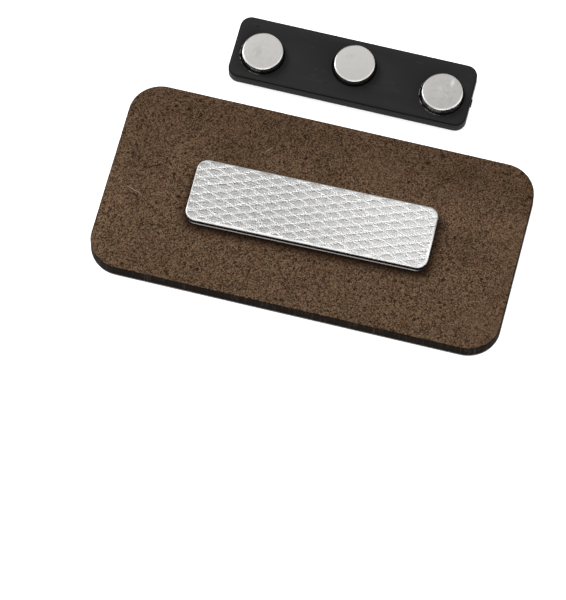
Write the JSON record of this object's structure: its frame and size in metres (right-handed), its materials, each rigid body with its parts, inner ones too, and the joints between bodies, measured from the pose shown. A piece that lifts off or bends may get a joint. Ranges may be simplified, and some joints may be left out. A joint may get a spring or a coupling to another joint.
{
  "type": "name badge with magnetic fastening",
  "caption": "Rectangular name badge with rounded corners, lying face down with a steel plate on its back, beside its magnet bar.",
  "frame": {"origin": "centre of the badge's printed face, which lies on z = 0", "axes": "+X along the badge's long side, +Y towards its red header and the magnet bar beyond, +Z out of the badge's back"},
  "size_m": [0.0762, 0.0566, 0.0047],
  "materials": {
    "white_name_field": "gloss white coat",
    "red_header": "gloss coat printed red",
    "board": "bare hardboard with a charred cut edge",
    "plate_tape": "pale adhesive pad",
    "steel_plate": "bright steel pressed with a net of lozenges",
    "bar_body": "satin moulded black plastic",
    "magnet": "satin nickel plate"
  },
  "bodies": {
    "root": {"white_name_field": "white_name_field", "red_header": "red_header", "board": "board", "plate_tape": "plate_tape", "steel_plate": "steel_plate", "bar_body": "bar_body", "magnet_1": "magnet", "magnet_2": "magnet", "magnet_3": "magnet"}
  },
  "joints": []
}
